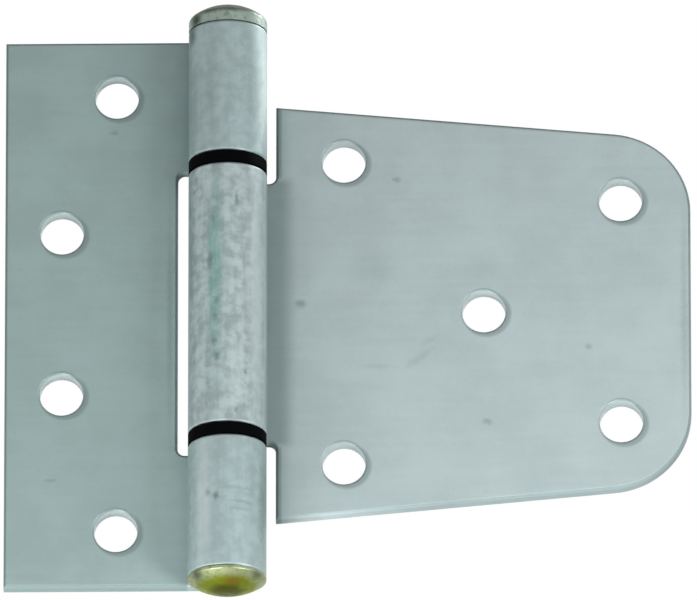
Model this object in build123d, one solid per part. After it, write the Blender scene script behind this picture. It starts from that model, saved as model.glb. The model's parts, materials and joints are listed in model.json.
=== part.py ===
from build123d import *
import math
import os

# A gate hinge laid open, millimetres. The pin stands along Z with its middle at the origin.
# +X points along the gate leaf, and +Y points to the post and gate that the leaves bolt to.

# Driving dimensions

plate_t = 3.4           # thickness of both leaves
pin_d = 9.5             # pin shaft
pin_clearance = 0.05    # radial, between the pin and every knuckle
edge_r = 0.7            # rounding along the blanked edges
inner_corner_r = 1.5    # rounding where a tongue leaves its leaf
rim_r = 0.6             # rounding of a bolt hole's front rim
hole_d = 9.0            # bolt holes, for 8 mm and 5/16 inch bolts
curl_gap = 0.5          # between a curl's end and the front of its leaf

knuckle_len = 58.0      # middle knuckle
washer_t = 2.4
washer_play = 0.1       # on each face of a washer
washer_clearance = 0.15  # radial, between a washer and the pin

jamb_height = 121.7
jamb_reach = 46.6       # pin axis to the post leaf's far edge
notch_reach = 10.5      # pin axis to the post leaf's edge beside the middle knuckle
jamb_outer_holes = (23.3, 96.8)  # distance from the pin axis, spacing along it
jamb_inner_holes = (34.7, 36.0)

gate_height = 92.2      # along the edge beside the barrel
gate_taper = 5.2        # degrees, each sloping edge
gate_corner_r = 17.5
gate_reach = 96.6       # pin axis to the gate leaf's end
root_reach = 10.0       # pin axis to the gate leaf's edge beside the end knuckles
gate_root_holes = (24.2, 67.4)
gate_tip_holes = (14.6, 49.4)    # distance from the leaf's end, spacing along the axis
gate_centre_hole = 53.4

head_d = 16.4           # both heads
head_h = 5.6            # round head on top
head_band = 2.4         # straight side under its crown
head_round = 1.2        # where the side turns into the crown
foot_h = 3.2            # lower head, formed when the pin is set
foot_band = 0.6
foot_round = 0.3

# Sizes that follow

bore_r = pin_d / 2 + pin_clearance
barrel_r = bore_r + plate_t
gap = washer_t + 2 * washer_play
notch_half = knuckle_len / 2 + gap


def hole_pair(side, place):
    """Centres of two bolt holes, as X and Z, at one distance from the pin axis."""
    reach, spacing = place
    return [(side * reach, spacing / 2), (side * reach, -spacing / 2)]


def rounded_plate(outline, holes):
    """The flat of a leaf: the blank between Y = bore_r and barrel_r, edges rounded."""
    back = Plane.XZ.offset(-barrel_r)
    plate = extrude(back * outline, plate_t, dir=(0, -1, 0))
    rims = [edge for face in plate.faces().filter_by(Axis.Y) for edge in face.edges()]
    rims = [edge for edge in rims if abs(edge.center().X) > 0.01]
    plate = fillet(rims, edge_r)
    drills = Sketch() + [Pos(x, z) * Circle(hole_d / 2) for x, z in holes]
    plate -= extrude(back * drills, plate_t, dir=(0, -1, 0))
    circles = plate.edges().filter_by(GeomType.CIRCLE)
    fronts = [edge for edge in circles if abs(edge.radius - hole_d / 2) < 0.001
              and abs(edge.arc_center.Y - bore_r) < 0.001]
    return fillet(fronts, rim_r)


def curl(side, bottom, top):
    """A tongue rolled round the pin: a ring cut open where it comes back to its leaf.

    side is 1 where the leaf lies towards +X and -1 where it lies towards -X.
    """
    end_y = bore_r - curl_gap
    end_slope = end_y / math.sqrt(barrel_r ** 2 - end_y ** 2)
    far = 2 * barrel_r
    opening = Polygon((0, 0), (side * far, far * end_slope), (side * far, far), (0, far), align=None)
    ring = Circle(barrel_r) - Circle(bore_r) - opening
    body = extrude(Pos(0, 0, bottom) * ring, top - bottom)
    rims = [edge for face in body.faces().filter_by(Axis.Z) for edge in face.edges()]
    rims = [edge for edge in rims if abs(edge.center().X) > 0.01 or edge.center().Y < 0]
    return fillet(rims, edge_r)


def jamb_leaf():
    """Post leaf: a rectangle with a notch for the middle knuckle, and the two end knuckles."""
    half = jamb_height / 2
    outline = Polygon((0, half), (-jamb_reach, half), (-jamb_reach, -half), (0, -half),
                      (0, -notch_half), (-notch_reach, -notch_half),
                      (-notch_reach, notch_half), (0, notch_half), align=None)
    inner = [v for v in outline.vertices() if abs(v.X + notch_reach) < 0.001]
    outline = fillet(inner, inner_corner_r)
    holes = hole_pair(-1, jamb_outer_holes) + hole_pair(-1, jamb_inner_holes)
    leaf = rounded_plate(outline, holes)
    return leaf + curl(-1, -half, -notch_half) + curl(-1, notch_half, half)


def gate_leaf():
    """Gate leaf: a plate that narrows to a round-cornered end, and the middle knuckle."""
    half = gate_height / 2
    neck = knuckle_len / 2
    end = half - (gate_reach - root_reach) * math.tan(math.radians(gate_taper))
    outline = Polygon((0, neck), (root_reach, neck), (root_reach, half), (gate_reach, end),
                      (gate_reach, -end), (root_reach, -half), (root_reach, -neck), (0, -neck),
                      align=None)
    inner = [v for v in outline.vertices()
             if abs(v.X - root_reach) < 0.001 and abs(abs(v.Y) - neck) < 0.001]
    outline = fillet(inner, inner_corner_r)
    tips = [v for v in outline.vertices() if abs(v.X - gate_reach) < 0.001]
    outline = fillet(tips, gate_corner_r)
    tip_margin, tip_spacing = gate_tip_holes
    holes = hole_pair(1, gate_root_holes) + hole_pair(1, (gate_reach - tip_margin, tip_spacing))
    holes += [(gate_centre_hole, 0)]
    return rounded_plate(outline, holes) + curl(1, -neck, neck)


def dome(seat, height, band, rounding, up):
    """A pin head turned about Z: a straight band on its seat, a spherical cap, a rounded rim."""
    radius = head_d / 2
    rim = seat + up * band
    crown = seat + up * height
    cap_r = (radius ** 2 + (height - band) ** 2) / (2 * (height - band))
    profile = Polyline((0, seat), (radius, seat), (radius, rim))
    cap = RadiusArc((radius, rim), (0, crown), -up * cap_r)
    shape = make_face(profile + cap + Line((0, crown), (0, seat)))
    rims = [v for v in shape.vertices() if abs(v.X - radius) < 0.001 and abs(v.Y - rim) < 0.001]
    return revolve(Plane.XZ * fillet(rims, rounding), Axis.Z)


def pin():
    """The pin: a shaft through all three knuckles, with a head seated on each end of the barrel."""
    half = jamb_height / 2
    shaft = extrude(Pos(0, 0, -half) * Circle(pin_d / 2), jamb_height)
    head = dome(half, head_h, head_band, head_round, 1)
    return shaft + head + dome(-half, foot_h, foot_band, foot_round, -1)


def washer(side):
    """A flat nylon ring as wide as the barrel, in the middle of a gap between two knuckles."""
    low = side * (knuckle_len + gap) / 2 - washer_t / 2
    ring = Circle(barrel_r) - Circle(pin_d / 2 + washer_clearance)
    return extrude(Pos(0, 0, low) * ring, washer_t)


pieces = {
    "jamb_leaf": jamb_leaf(),
    "gate_leaf": gate_leaf(),
    "pin": pin(),
    "upper_washer": washer(1),
    "lower_washer": washer(-1),
}

os.makedirs("parts", exist_ok=True)
for name, shape in pieces.items():
    export_step(shape, f"parts/{name}.step")
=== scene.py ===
import json
import math

import bpy
import numpy as np
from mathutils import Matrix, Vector

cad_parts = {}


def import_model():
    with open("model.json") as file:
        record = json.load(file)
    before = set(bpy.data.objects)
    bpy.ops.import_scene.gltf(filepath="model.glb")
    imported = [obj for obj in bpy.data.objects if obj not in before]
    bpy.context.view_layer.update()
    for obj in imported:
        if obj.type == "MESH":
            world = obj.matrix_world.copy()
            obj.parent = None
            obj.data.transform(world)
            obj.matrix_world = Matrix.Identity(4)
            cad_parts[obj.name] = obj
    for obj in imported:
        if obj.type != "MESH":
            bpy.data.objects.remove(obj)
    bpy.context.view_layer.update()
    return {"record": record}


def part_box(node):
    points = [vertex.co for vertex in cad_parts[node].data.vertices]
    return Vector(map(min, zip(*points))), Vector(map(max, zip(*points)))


# A galvanised gate hinge laid open, in metres, seen from in front of its barrel, from below and
# a trace to the right. The pin stands along Z, +X points along the gate leaf and -Y towards the
# viewer.

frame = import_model()

MM = 0.001

# Photograph: one pixel's size at the pin axis, the column of that axis and the row of its middle
PIXEL = 0.2085 * MM
PHOTO_WIDTH = 697
PHOTO_HEIGHT = 600
AXIS_PX = 227.5
LEVEL_PX = 303.9
VIEW_BELOW = math.radians(21.0)
VIEW_RIGHT = math.radians(1.0)
VIEW_DISTANCE = 5.0

# Hinge: the sizes that the finishes follow
BARREL_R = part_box("upper_washer")[1][0]
BARREL_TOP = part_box("jamb_leaf")[1][2]
LEAF_FRONT = 4.8 * MM
GATE_ROOT = 10.0 * MM
GATE_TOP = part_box("gate_leaf")[1][2]
GATE_TAPER = math.radians(5.2)
NECK_TOP = 29.0 * MM
HOLE_R = 4.5 * MM

# Zinc colours: the flat of each leaf, its knuckles, and what marks them; SHADE is painted shade,
# PALE mostly painted highlight, and the stain colour serves painted shade as well
POST_FLAT = (0.355, 0.475, 0.462)
POST_KNUCKLE = (0.402, 0.51, 0.515)
GATE_FLAT = (0.457, 0.551, 0.556)
GATE_KNUCKLE = (0.436, 0.529, 0.534)
STAIN_AND_SHADE = (0.115, 0.18, 0.165, 1.0)
SCUFF = (0.17, 0.43, 0.37, 1.0)
SHADE = (0.15, 0.21, 0.21, 1.0)
PALE = (0.62, 0.71, 0.715, 1.0)

# How far the zinc drifts darker and lighter than its colour, as a share of it
FLAT_DRIFT = 0.05
POST_DRIFT = 0.1
GATE_DRIFT = 0.2

# Yellow zinc colours, from the rim of the foot to its middle and from the head's side to its crown
# The foot's rim is paler with painted highlight, and its middle darker with painted shade
FOOT_RIM_LIT = (0.34, 0.39, 0.22, 1.0)
FOOT_RING = (0.21, 0.26, 0.015, 1.0)
FOOT_MIDDLE_SHADED = (0.085, 0.095, 0.004, 1.0)
FOOT_BROWN = (0.20, 0.135, 0.01, 1.0)
HEAD_SIDE = (0.31, 0.385, 0.345, 1.0)
HEAD_CROWN = (0.06, 0.085, 0.055, 1.0)
DULL_OLIVE = (0.10, 0.125, 0.03, 1.0)
DARK_PATCH = (0.035, 0.05, 0.035, 1.0)

# Nylon and floor colours
NYLON_DARK = (0.0008, 0.001, 0.0012, 1.0)
NYLON_LIGHT = (0.0025, 0.003, 0.0034, 1.0)
FLOOR_GREY = (0.9, 0.9, 0.9, 1.0)

# Stains, scratches, painted shade and painted highlights, in millimetres: centre X, Y, Z, half length
# along X, half height along Z, then a turn about Y in degrees and a strength. All lie on the front,
# and the depth below is the half depth of each.
MARK_DEPTH = 3.0 * MM

# Middle knuckle: its worn line, then chips along it, pits to its right and painted shade down its
# left side
BARREL_LINE = (-2.5, -7.8, 5.0, 2.0, 27.0, 0.0, 1.0)
BARREL_SPOTS = [
    (-3.5, -7.4, 7.0, 0.8, 2.7, 0.0, 0.6),
    (-2.9, -7.6, 16.6, 0.9, 1.8, 0.0, 0.4),
    (2.1, -7.9, 20.3, 0.6, 2.0, 0.0, 0.5),
    (-2.2, -7.9, -2.0, 0.7, 1.1, 0.0, 0.5),
    (-2.4, -7.8, -5.6, 0.7, 1.0, 0.0, 0.45),
    (-2.6, -7.8, -11.0, 0.7, 1.3, 0.0, 0.55),
    (-2.1, -7.9, -14.5, 0.7, 1.2, 0.0, 0.5),
    (4.0, -7.2, -17.8, 0.5, 0.8, 0.0, 0.5),
    (2.1, -7.9, -26.4, 0.5, 0.8, 0.0, 0.45),
    (-7.7, -2.8, 15.0, 1.2, 16.0, 0.0, 0.3),
]

# Gate leaf: a bent scratch in three strokes, four specks, two faint clouds and painted shade along
# the far edge
GATE_SPOTS = [
    (31.2, 4.8, -12.1, 4.2, 0.7, 0.0, 0.16),
    (39.8, 4.8, -10.4, 4.4, 1.0, -38.0, 0.16),
    (42.0, 4.8, -6.4, 2.6, 0.8, -30.0, 0.12),
    (15.0, 4.8, 2.0, 1.6, 1.1, 0.0, 0.4),
    (35.2, 4.8, 29.6, 1.1, 0.8, 0.0, 0.35),
    (54.0, 4.8, -24.6, 1.3, 0.8, 0.0, 0.35),
    (75.2, 4.8, -7.9, 0.9, 0.9, 0.0, 0.3),
    (29.6, 4.8, 9.1, 6.5, 3.8, 0.0, 0.12),
    (53.0, 4.8, 9.4, 5.8, 3.4, 0.0, 0.10),
    (95.2, 4.8, 0.0, 0.9, 26.0, 0.0, 0.2),
]

# Post leaf: painted shade down the right side of both knuckles and the left of the upper one, a dark
# streak on the upper one, chips and level scratches on the lower one, the dark corner of the upper
# one, painted shade along the edge of the notch and two specks
POST_SPOTS = [
    (7.6, -3.2, -47.0, 1.3, 16.0, 0.0, 0.42),
    (5.6, -6.0, 45.0, 2.4, 18.0, 0.0, 0.22),
    (-3.4, -7.5, 47.0, 1.3, 14.0, 0.0, 0.18),
    (-6.2, -5.3, 46.0, 1.6, 16.0, 0.0, 0.12),
    (-2.2, -7.9, -45.5, 0.8, 1.1, 0.0, 0.65),
    (-3.9, -7.2, -44.4, 0.7, 1.0, 0.0, 0.4),
    (3.0, -7.6, -43.6, 4.2, 0.35, 0.0, 0.22),
    (3.4, -7.5, -46.6, 4.0, 0.4, 0.0, 0.25),
    (2.6, -7.8, -48.2, 3.6, 0.35, 0.0, 0.2),
    (-7.6, -3.2, 59.0, 2.0, 3.5, 0.0, 0.95),
    (-12.1, 4.8, 0.0, 0.8, 30.0, 0.0, 0.22),
    (-37.0, 4.8, -37.2, 1.6, 0.5, 0.0, 0.3),
    (-24.0, 4.8, 40.5, 1.0, 0.5, 0.0, 0.35),
]

# Painted highlights down the knuckles, and a pale patch near the top of the middle one
BARREL_PALE = [
    (6.3, -5.2, 0.0, 2.5, 38.0, 0.0, 0.75),
    (-3.6, -7.3, 24.3, 2.4, 2.6, 0.0, 0.5),
    (7.9, -2.4, 5.0, 1.0, 30.0, 0.0, 0.45),
]
POST_HIGHLIGHTS = [
    (-4.9, -6.6, -46.0, 2.4, 20.0, 0.0, 0.5),
    (7.9, -2.2, 46.0, 0.9, 18.0, 0.0, 0.6),
]

# Pin: the brown patch on its foot, and dark patches on the sides of both heads
FOOT_PATCH = (1.2, -4.4, -63.1, 2.6, 1.6, 0.0, 0.85)
PIN_SPOTS = [
    (-6.7, -4.8, 62.0, 1.9, 1.9, 0.0, 1.0),
    (-6.3, -5.0, -61.9, 1.5, 1.0, 0.0, 0.7),
    (6.4, -4.9, -61.9, 1.5, 1.0, 0.0, 0.6),
]

# Light: the dome's strength right behind the hinge, then each lamp's place, the point it faces,
# its side in metres and its power in watts
DOME_STRENGTH = 0.8
LAMPS = {
    "right_low": ((0.20, -0.14, -0.20), (0.05, 0.0, 0.01), 0.12, 0.58),
    "right_front": ((0.12, -0.22, 0.05), (0.06, 0.0, 0.01), 0.20, 0.08),
    "left_low": ((-0.12, -0.10, -0.32), (0.0, 0.0, -0.05), 0.15, 1.15),
    "left_side": ((-0.36, -0.10, 0.0), (0.0, 0.0, 0.0), 0.25, 0.04),
    "back_high": ((0.26, 0.14, 0.28), (0.0, 0.0, 0.04), 0.15, 0.89),
}

# Floor: how far it lies below the hinge, and how far it spreads to each side
FLOOR_DEPTH = 9.0
FLOOR_REACH = 27.0


def new_tree(name):
    """A new material, its node tree, the Principled shader on its output and Object coordinates."""
    material = bpy.data.materials.new(name)
    material.use_nodes = True
    tree = material.node_tree
    tree.nodes.clear()
    output = tree.nodes.new("ShaderNodeOutputMaterial")
    shader = tree.nodes.new("ShaderNodeBsdfPrincipled")
    tree.links.new(shader.outputs["BSDF"], output.inputs["Surface"])
    place = tree.nodes.new("ShaderNodeTexCoord").outputs["Object"]
    return material, tree, shader, place


def add(tree, kind, inputs, **settings):
    """Add a node with its settings, and link or set each of its inputs."""
    node = tree.nodes.new("ShaderNode" + kind)
    for setting, value in settings.items():
        setattr(node, setting, value)
    for socket, value in inputs.items():
        if isinstance(value, bpy.types.NodeSocket):
            tree.links.new(value, node.inputs[socket])
        else:
            node.inputs[socket].default_value = value
    return node


def noise(tree, place, size, detail=3.0, roughness=0.5):
    """Soft noise from 0 to 1 whose patches are about size metres across."""
    inputs = {"Vector": place, "Scale": 1.0 / size, "Detail": detail, "Roughness": roughness}
    return add(tree, "TexNoise", inputs).outputs[0]


def streaks(tree, place, width, height, detail=3.0, roughness=0.5):
    """Soft noise whose patches are width metres along X and Y, and height metres along Z."""
    inputs = {"Vector": place, "Scale": (1.0 / width, 1.0 / width, 1.0 / height)}
    steps = add(tree, "Mapping", inputs).outputs[0]
    return noise(tree, steps, 1.0, detail, roughness)


def calc(tree, operation, *values):
    """One Math node on sockets or numbers."""
    return add(tree, "Math", dict(enumerate(values)), operation=operation).outputs[0]


def product(tree, total, *others):
    """All the values multiplied together."""
    for value in others:
        total = calc(tree, "MULTIPLY", total, value)
    return total


def strongest(tree, greatest, *others):
    """The greatest of the values."""
    for value in others:
        greatest = calc(tree, "MAXIMUM", value, greatest)
    return greatest


def weighed(tree, *shares):
    """The sum of values, each multiplied by its share."""
    total = 0.0
    for value, share in shares:
        total = calc(tree, "MULTIPLY_ADD", value, share, total)
    return total


def remap(tree, value, low, high, to_low=0.0, to_high=1.0):
    """Ease a value from low..high to to_low..to_high, held at both ends."""
    inputs = {"Value": value, "From Min": low, "From Max": high, "To Min": to_low, "To Max": to_high}
    return add(tree, "MapRange", inputs, interpolation_type="SMOOTHSTEP").outputs[0]


def blend(tree, factor, first, second):
    """A colour between first and second, which are sockets 6 and 7 of a Mix node."""
    inputs = {0: factor, 6: first, 7: second}
    return add(tree, "Mix", inputs, data_type="RGBA").outputs[2]


def dimmed(colour, share):
    """A colour with its three channels multiplied by share, and opaque."""
    return tuple(channel * share for channel in colour) + (1.0,)


def mottled(tree, tone, colour, drift):
    """A colour that drifts from darker to lighter as tone rises through its middle."""
    return blend(tree, remap(tree, tone, 0.38, 0.62), dimmed(colour, 1.0 - drift),
                 dimmed(colour, 1.0 + drift))


def grain(tree, shader, height, strength, distance):
    """Bump the shader's surface by a height, which is distance metres where it is 1."""
    bump = add(tree, "Bump", {"Height": height, "Strength": strength, "Distance": distance})
    tree.links.new(bump.outputs[0], shader.inputs["Normal"])


def spot(tree, place, mark):
    """One mark, stain or painted shade or highlight: strength deep inside an ellipsoid, easing to 0
    just outside.
    """
    x, y, z, half_length, half_height, turn, strength = mark
    inputs = {"Vector": place, "Location": (x * MM, y * MM, z * MM),
              "Rotation": (0.0, math.radians(turn), 0.0),
              "Scale": (half_length * MM, MARK_DEPTH, half_height * MM)}
    inside = add(tree, "Mapping", inputs, vector_type="TEXTURE").outputs[0]
    away = add(tree, "VectorMath", {0: inside}, operation="LENGTH").outputs["Value"]
    return remap(tree, away, 1.25, 0.1, 0.0, strength)


def spots(tree, place, marks):
    """The strongest of several marks at each point, with ragged outlines."""
    tooth = 0.9 * MM
    push = 1.2 * MM
    ragged = add(tree, "TexNoise", {"Vector": place, "Scale": 1.0 / tooth, "Detail": 2.0})
    pushed = add(tree, "VectorMath", {0: ragged.outputs["Color"], 1: (0.5, 0.5, 0.5)},
                 operation="SUBTRACT").outputs[0]
    pushed = add(tree, "VectorMath", {0: pushed, 1: (push, push, push), 2: place},
                 operation="MULTIPLY_ADD").outputs[0]
    return strongest(tree, 0.0, *[spot(tree, pushed, mark) for mark in marks])


def scuffs(tree, place, line):
    """A worn line along the barrel: a soft band, with short dashes where it is deepest."""
    dashes = remap(tree, streaks(tree, place, 0.9 * MM, 3.2 * MM, 3.0, 0.6), 0.42, 0.64, 0.4, 0.8)
    return product(tree, spots(tree, place, [line]), dashes)


def bolt_holes(leaf):
    """X and Z of each bolt hole in a leaf, from the mounts of the record."""
    centres = []
    for mount in frame["record"]["mounts"]:
        if mount["name"].startswith(leaf) and "_hole" in mount["name"]:
            x, _, z = mount["pos_m"]
            half = mount["dims"].get("spacing_y_mm", 0.0) * MM / 2.0
            centres += [(x, z + half), (x, z - half)] if half else [(x, z)]
    return centres


def from_holes(tree, place, leaf, right=0.0, raised=0.0):
    """Distance, along the leaf, to the nearest hole centre, each moved right and raised."""
    on_leaf = add(tree, "VectorMath", {0: place, 1: (1.0, 0.0, 1.0)}, operation="MULTIPLY").outputs[0]
    nearest = 1.0
    for x, z in bolt_holes(leaf):
        away = add(tree, "VectorMath", {0: on_leaf, 1: (x + right, 0.0, z + raised)},
                   operation="DISTANCE").outputs["Value"]
        nearest = calc(tree, "MINIMUM", away, nearest)
    return nearest


def cut_edges(tree, across, depth, holes):
    """1 on the rounded edges round a leaf's outline, 0 on its faces and at its holes."""
    off_front = remap(tree, depth, LEAF_FRONT + 0.005 * MM, LEAF_FRONT + 0.08 * MM)
    off_back = remap(tree, depth, BARREL_R - 0.02 * MM, BARREL_R - 0.2 * MM)
    aside = calc(tree, "ABSOLUTE", across)
    off_barrel = remap(tree, aside, BARREL_R - 0.1 * MM, BARREL_R + 0.4 * MM)
    off_holes = remap(tree, holes, HOLE_R + 1.1 * MM, HOLE_R + 1.5 * MM)
    return product(tree, off_front, off_back, off_barrel, off_holes)


def knuckle_shade(tree, across, up):
    """Shade on the post leaf beside its upper knuckle."""
    beside = remap(tree, across, -2.6 * BARREL_R, -BARREL_R, 0.0, 0.4)
    off_barrel = remap(tree, across, -BARREL_R + 0.2 * MM, -BARREL_R - 0.1 * MM)
    upper = remap(tree, up, 20.0 * MM, 36.0 * MM)
    return product(tree, beside, off_barrel, upper)


def root_shade(tree, across, up):
    """Shade along the gate leaf's root, deep at the neck, with a line on its root and top edges."""
    at_neck = remap(tree, calc(tree, "ABSOLUTE", up), NECK_TOP + 2.0 * MM, NECK_TOP - 0.5 * MM)
    off_neck = calc(tree, "SUBTRACT", 1.0, at_neck)
    root = remap(tree, across, GATE_ROOT, GATE_ROOT + 3.6 * MM, 0.30, 0.0)
    neck = remap(tree, across, GATE_ROOT + 0.6 * MM, GATE_ROOT + 5.0 * MM, 0.62, 0.0)
    line = remap(tree, across, GATE_ROOT + 0.8 * MM, GATE_ROOT + 1.7 * MM, 0.72, 0.0)
    level = calc(tree, "MULTIPLY_ADD", across, math.tan(GATE_TAPER), up)
    top_level = GATE_TOP + GATE_ROOT * math.tan(GATE_TAPER)
    top = remap(tree, level, top_level - 1.2 * MM, top_level - 0.4 * MM, 0.0, 0.25)
    shade = strongest(tree, root, product(tree, neck, at_neck), product(tree, line, off_neck), top)
    off_barrel = remap(tree, across, BARREL_R - 0.4 * MM, BARREL_R + 0.2 * MM)
    return product(tree, shade, off_barrel)


def gate_edge_shade(tree, across, up):
    """How dark the gate leaf's cut edge is: palest at its lower root corner."""
    towards_top = remap(tree, up, -25.0 * MM, 25.0 * MM, 0.05, 0.6)
    towards_end = remap(tree, across, 15.0 * MM, 45.0 * MM, 0.05, 0.5)
    return strongest(tree, towards_top, towards_end)


def hole_shades(tree, place, leaf):
    """Shade to the lower right of each bolt hole, and shade on its upper rim."""
    lower_right = from_holes(tree, place, leaf, 0.6 * MM, -0.6 * MM)
    upper = from_holes(tree, place, leaf, 0.0, 1.0 * MM)
    return [remap(tree, lower_right, HOLE_R + 1.0 * MM, HOLE_R + 0.2 * MM, 0.0, 0.55),
            remap(tree, upper, HOLE_R - 0.15 * MM, HOLE_R - 0.45 * MM, 0.0, 0.5)]


def galvanised(leaf, flat_colour, knuckle_colour, drift, marks, pale):
    """Dull zinc on one leaf: drawn streaks on the flat, a blotchy barrel, fine pits and stains,
    with painted shade on the edges, beside the barrel and round the holes, and painted highlights.

    leaf is "jamb" or "gate", and drift is how far the barrel's blotches depart from its colour.
    """
    material, tree, shader, place = new_tree("galvanised_" + leaf)
    across, depth, up = add(tree, "SeparateXYZ", {0: place}).outputs
    holes = from_holes(tree, place, leaf)
    edges = cut_edges(tree, across, depth, holes)
    front = remap(tree, depth, BARREL_R - 0.2 * MM, BARREL_R - 1.0 * MM)
    beside_barrel = remap(tree, calc(tree, "ABSOLUTE", across), BARREL_R - 0.8 * MM, BARREL_R)
    flat = strongest(tree, beside_barrel, remap(tree, depth, LEAF_FRONT, BARREL_R - 0.8 * MM))

    cloud = noise(tree, place, 11.0 * MM)
    patch = noise(tree, place, 2.6 * MM, 4.0, 0.6)
    fine = noise(tree, place, 0.35 * MM, 2.0)
    drawn = streaks(tree, place, 18.0 * MM, 1.3 * MM, 4.0)
    rolled = streaks(tree, place, 1.3 * MM, 12.0 * MM, 2.0)
    blotch = streaks(tree, place, 2.2 * MM, 2.0 * MM, 3.0, 0.55)
    flat_tone = weighed(tree, (cloud, 0.5), (drawn, 0.2), (patch, 0.3))
    barrel_tone = weighed(tree, (cloud, 0.2), (rolled, 0.25), (blotch, 0.55))
    colour = blend(tree, flat, mottled(tree, barrel_tone, knuckle_colour, drift),
                   mottled(tree, flat_tone, flat_colour, FLAT_DRIFT))
    colour = blend(tree, remap(tree, fine, 0.62, 0.74, 0.0, 0.18), colour, SHADE)
    # Painted highlights down the knuckles, and on the middle one a pale patch
    colour = blend(tree, spots(tree, place, pale), colour, PALE)

    if leaf == "gate":
        colour = blend(tree, scuffs(tree, place, BARREL_LINE), colour, SCUFF)
        shade = root_shade(tree, across, up)
        edge_shade = gate_edge_shade(tree, across, up)
    else:
        shade = knuckle_shade(tree, across, up)
        edge_shade = 0.5
    # Painted shade on the cut edges, then on the front painted shade beside the barrel and round the
    # holes
    colour = blend(tree, product(tree, edges, edge_shade), colour, SHADE)
    for share in [shade] + hole_shades(tree, place, leaf):
        colour = blend(tree, product(tree, share, front), colour, SHADE)
    # Painted highlight on the walls of the bolt holes
    wall_highlight = remap(tree, holes, HOLE_R + 0.12 * MM, HOLE_R + 0.02 * MM, 0.0, 0.6)
    colour = blend(tree, wall_highlight, colour, PALE)
    # Stains, and painted shade where a mark stands for shade
    stain_and_shade = spots(tree, place, marks)
    colour = blend(tree, stain_and_shade, colour, STAIN_AND_SHADE)
    tree.links.new(colour, shader.inputs["Base Color"])

    shader.inputs["Metallic"].default_value = 0.3
    rough = calc(tree, "MULTIPLY_ADD", stain_and_shade, 0.2, remap(tree, patch, 0.3, 0.7, 0.42, 0.56))
    tree.links.new(calc(tree, "MULTIPLY_ADD", edges, 0.35, rough), shader.inputs["Roughness"])
    dents = product(tree, blotch, calc(tree, "SUBTRACT", 1.0, flat))
    relief = weighed(tree, (fine, 0.25), (patch, 0.5), (dents, 0.8))
    grain(tree, shader, relief, 0.35, 0.12 * MM)
    return material


def foot_colour(tree, place, across, depth, cloud):
    """Rings of the lower head: a rim with painted highlight, a bright olive ring with a brown patch,
    a painted-shade middle.
    """
    level = add(tree, "CombineXYZ", {0: across, 1: depth, 2: 0.0}).outputs[0]
    radius = add(tree, "VectorMath", {0: level}, operation="LENGTH").outputs["Value"]
    radius = calc(tree, "MULTIPLY_ADD", cloud, 2.0 * MM, radius)
    colour = blend(tree, remap(tree, radius, 8.6 * MM, 6.2 * MM), FOOT_RIM_LIT, FOOT_RING)
    colour = blend(tree, spots(tree, place, [FOOT_PATCH]), colour, FOOT_BROWN)
    return blend(tree, remap(tree, radius, 5.6 * MM, 3.4 * MM), colour, FOOT_MIDDLE_SHADED)


def head_colour(tree, up, cloud):
    """The upper head: a grey-green side that darkens over its crown."""
    height = calc(tree, "MULTIPLY_ADD", cloud, 1.0 * MM, up)
    crown = remap(tree, height, BARREL_TOP + 1.9 * MM, BARREL_TOP + 3.4 * MM)
    return blend(tree, crown, HEAD_SIDE, HEAD_CROWN)


def yellow_zinc():
    """Yellow passivated zinc on the pin: dull patches, dark patches on its heads' sides, painted
    light and shade on its foot.
    """
    material, tree, shader, place = new_tree("yellow_zinc")
    across, depth, up = add(tree, "SeparateXYZ", {0: place}).outputs
    cloud = noise(tree, place, 3.0 * MM)
    patch = noise(tree, place, 1.1 * MM, 4.0, 0.6)
    fine = noise(tree, place, 0.3 * MM, 2.0)
    # The foot's colours turn into the head's along the shaft, out of sight in the barrel
    upper = remap(tree, up, -40.0 * MM, 40.0 * MM)
    colour = blend(tree, upper, foot_colour(tree, place, across, depth, cloud),
                   head_colour(tree, up, cloud))
    colour = blend(tree, remap(tree, patch, 0.45, 0.7, 0.0, 0.45), colour, DULL_OLIVE)
    colour = blend(tree, spots(tree, place, PIN_SPOTS), colour, DARK_PATCH)
    tree.links.new(colour, shader.inputs["Base Color"])
    shader.inputs["Metallic"].default_value = 0.6
    shader.inputs["Specular IOR Level"].default_value = 0.15
    tree.links.new(remap(tree, patch, 0.3, 0.7, 0.36, 0.52), shader.inputs["Roughness"])
    grain(tree, shader, weighed(tree, (patch, 0.6), (fine, 0.4)), 0.3, 0.1 * MM)
    return material


def black_nylon():
    """Black moulded nylon with a faint grain."""
    material, tree, shader, place = new_tree("black_nylon")
    cloud = noise(tree, place, 2.0 * MM)
    fine = noise(tree, place, 0.25 * MM)
    tree.links.new(blend(tree, cloud, NYLON_DARK, NYLON_LIGHT), shader.inputs["Base Color"])
    tree.links.new(remap(tree, fine, 0.3, 0.7, 0.5, 0.7), shader.inputs["Roughness"])
    shader.inputs["Specular IOR Level"].default_value = 0.02
    grain(tree, shader, fine, 0.3, 0.04 * MM)
    return material


def dress(node, material):
    """Give a CAD node one material."""
    mesh = bpy.data.objects[node].data
    mesh.materials.clear()
    mesh.materials.append(material)


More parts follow.
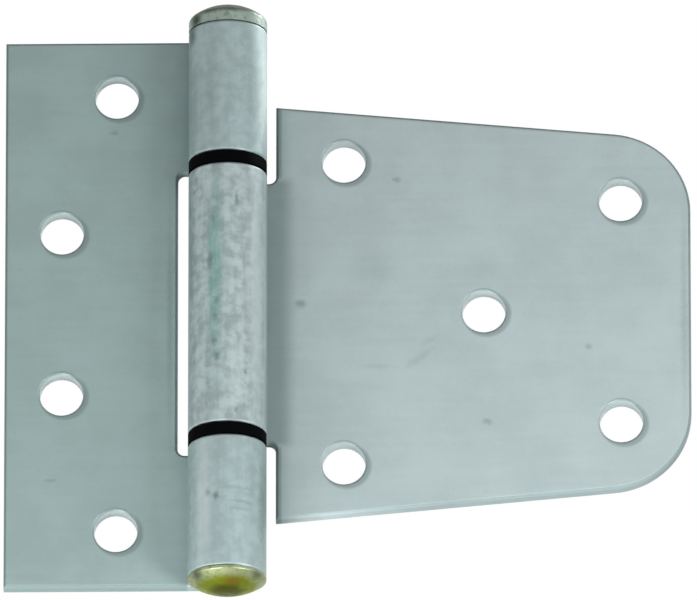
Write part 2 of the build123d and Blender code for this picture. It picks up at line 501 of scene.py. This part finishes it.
def camera():
    """The photograph's view: along +Y, from VIEW_BELOW under the horizon and VIEW_RIGHT aside."""
    data = bpy.data.cameras.new("camera")
    eye = bpy.data.objects.new("camera", data)
    bpy.context.collection.objects.link(eye)
    ahead = math.cos(VIEW_BELOW)
    look = Vector((-math.sin(VIEW_RIGHT) * ahead, math.cos(VIEW_RIGHT) * ahead, math.sin(VIEW_BELOW)))
    target = Vector(((PHOTO_WIDTH / 2 - AXIS_PX) * PIXEL, 0.0,
                     (LEVEL_PX - PHOTO_HEIGHT / 2) * PIXEL / ahead))
    eye.location = target - look * VIEW_DISTANCE
    eye.rotation_euler = look.to_track_quat("-Z", "Y").to_euler()
    data.lens = data.sensor_width * VIEW_DISTANCE / (PHOTO_WIDTH * PIXEL)
    data.clip_start = 0.01
    data.clip_end = 20.0
    bpy.context.scene.camera = eye


def lamp(name, place, target, side, power):
    """A square area lamp at place that faces target."""
    data = bpy.data.lights.new(name, "AREA")
    data.shape = "SQUARE"
    data.size = side
    data.energy = power
    light = bpy.data.objects.new(name, data)
    bpy.context.collection.objects.link(light)
    light.location = place
    aim = Vector(target) - Vector(place)
    light.rotation_euler = aim.to_track_quat("-Z", "Y").to_euler()


def world():
    """White behind and in the metal, and a soft dome that lights the back and the edges."""
    backdrop = bpy.data.worlds.new("studio")
    bpy.context.scene.world = backdrop
    backdrop.use_nodes = True
    tree = backdrop.node_tree
    tree.nodes.clear()
    direction = add(tree, "TexCoord", {}).outputs["Generated"]
    behind = add(tree, "VectorMath", {0: direction, 1: (0.0, 1.0, 0.0)},
                 operation="DOT_PRODUCT").outputs["Value"]
    dome = add(tree, "Background", {"Strength": remap(tree, behind, -0.6, 1.0, 0.0, DOME_STRENGTH)})
    white = add(tree, "Background", {"Color": (1.0, 1.0, 1.0, 1.0), "Strength": 1.0})
    rays = add(tree, "LightPath", {}).outputs
    seen = strongest(tree, rays["Is Camera Ray"], rays["Is Glossy Ray"], rays["Is Transmission Ray"])
    mix = add(tree, "MixShader", {0: seen, 1: dome.outputs[0], 2: white.outputs[0]})
    add(tree, "OutputWorld", {"Surface": mix.outputs[0]})


def floor():
    """A pale square below the hinge, under the camera too.

    X and Y run from -FLOOR_REACH to FLOOR_REACH, and Z is -FLOOR_DEPTH throughout.
    """
    signs = np.array([(-1, -1, -1), (1, -1, -1), (1, 1, -1), (-1, 1, -1)])
    corners = signs * (FLOOR_REACH, FLOOR_REACH, FLOOR_DEPTH)
    mesh = bpy.data.meshes.new("floor")
    mesh.from_pydata(corners.tolist(), [], [(0, 1, 2, 3)])
    ground = bpy.data.objects.new("floor", mesh)
    bpy.context.collection.objects.link(ground)
    material, _, shader, _ = new_tree("floor")
    shader.inputs["Base Color"].default_value = FLOOR_GREY
    shader.inputs["Roughness"].default_value = 0.8
    mesh.materials.append(material)


dress("jamb_leaf", galvanised("jamb", POST_FLAT, POST_KNUCKLE, POST_DRIFT, POST_SPOTS, POST_HIGHLIGHTS))
dress("gate_leaf", galvanised("gate", GATE_FLAT, GATE_KNUCKLE, GATE_DRIFT,
                              BARREL_SPOTS + GATE_SPOTS, BARREL_PALE))
dress("pin", yellow_zinc())
nylon = black_nylon()
dress("upper_washer", nylon)
dress("lower_washer", nylon)

floor()
world()
for name, (place, target, side, power) in LAMPS.items():
    lamp(name, place, target, side, power)
camera()

bpy.context.scene.view_settings.view_transform = "Standard"
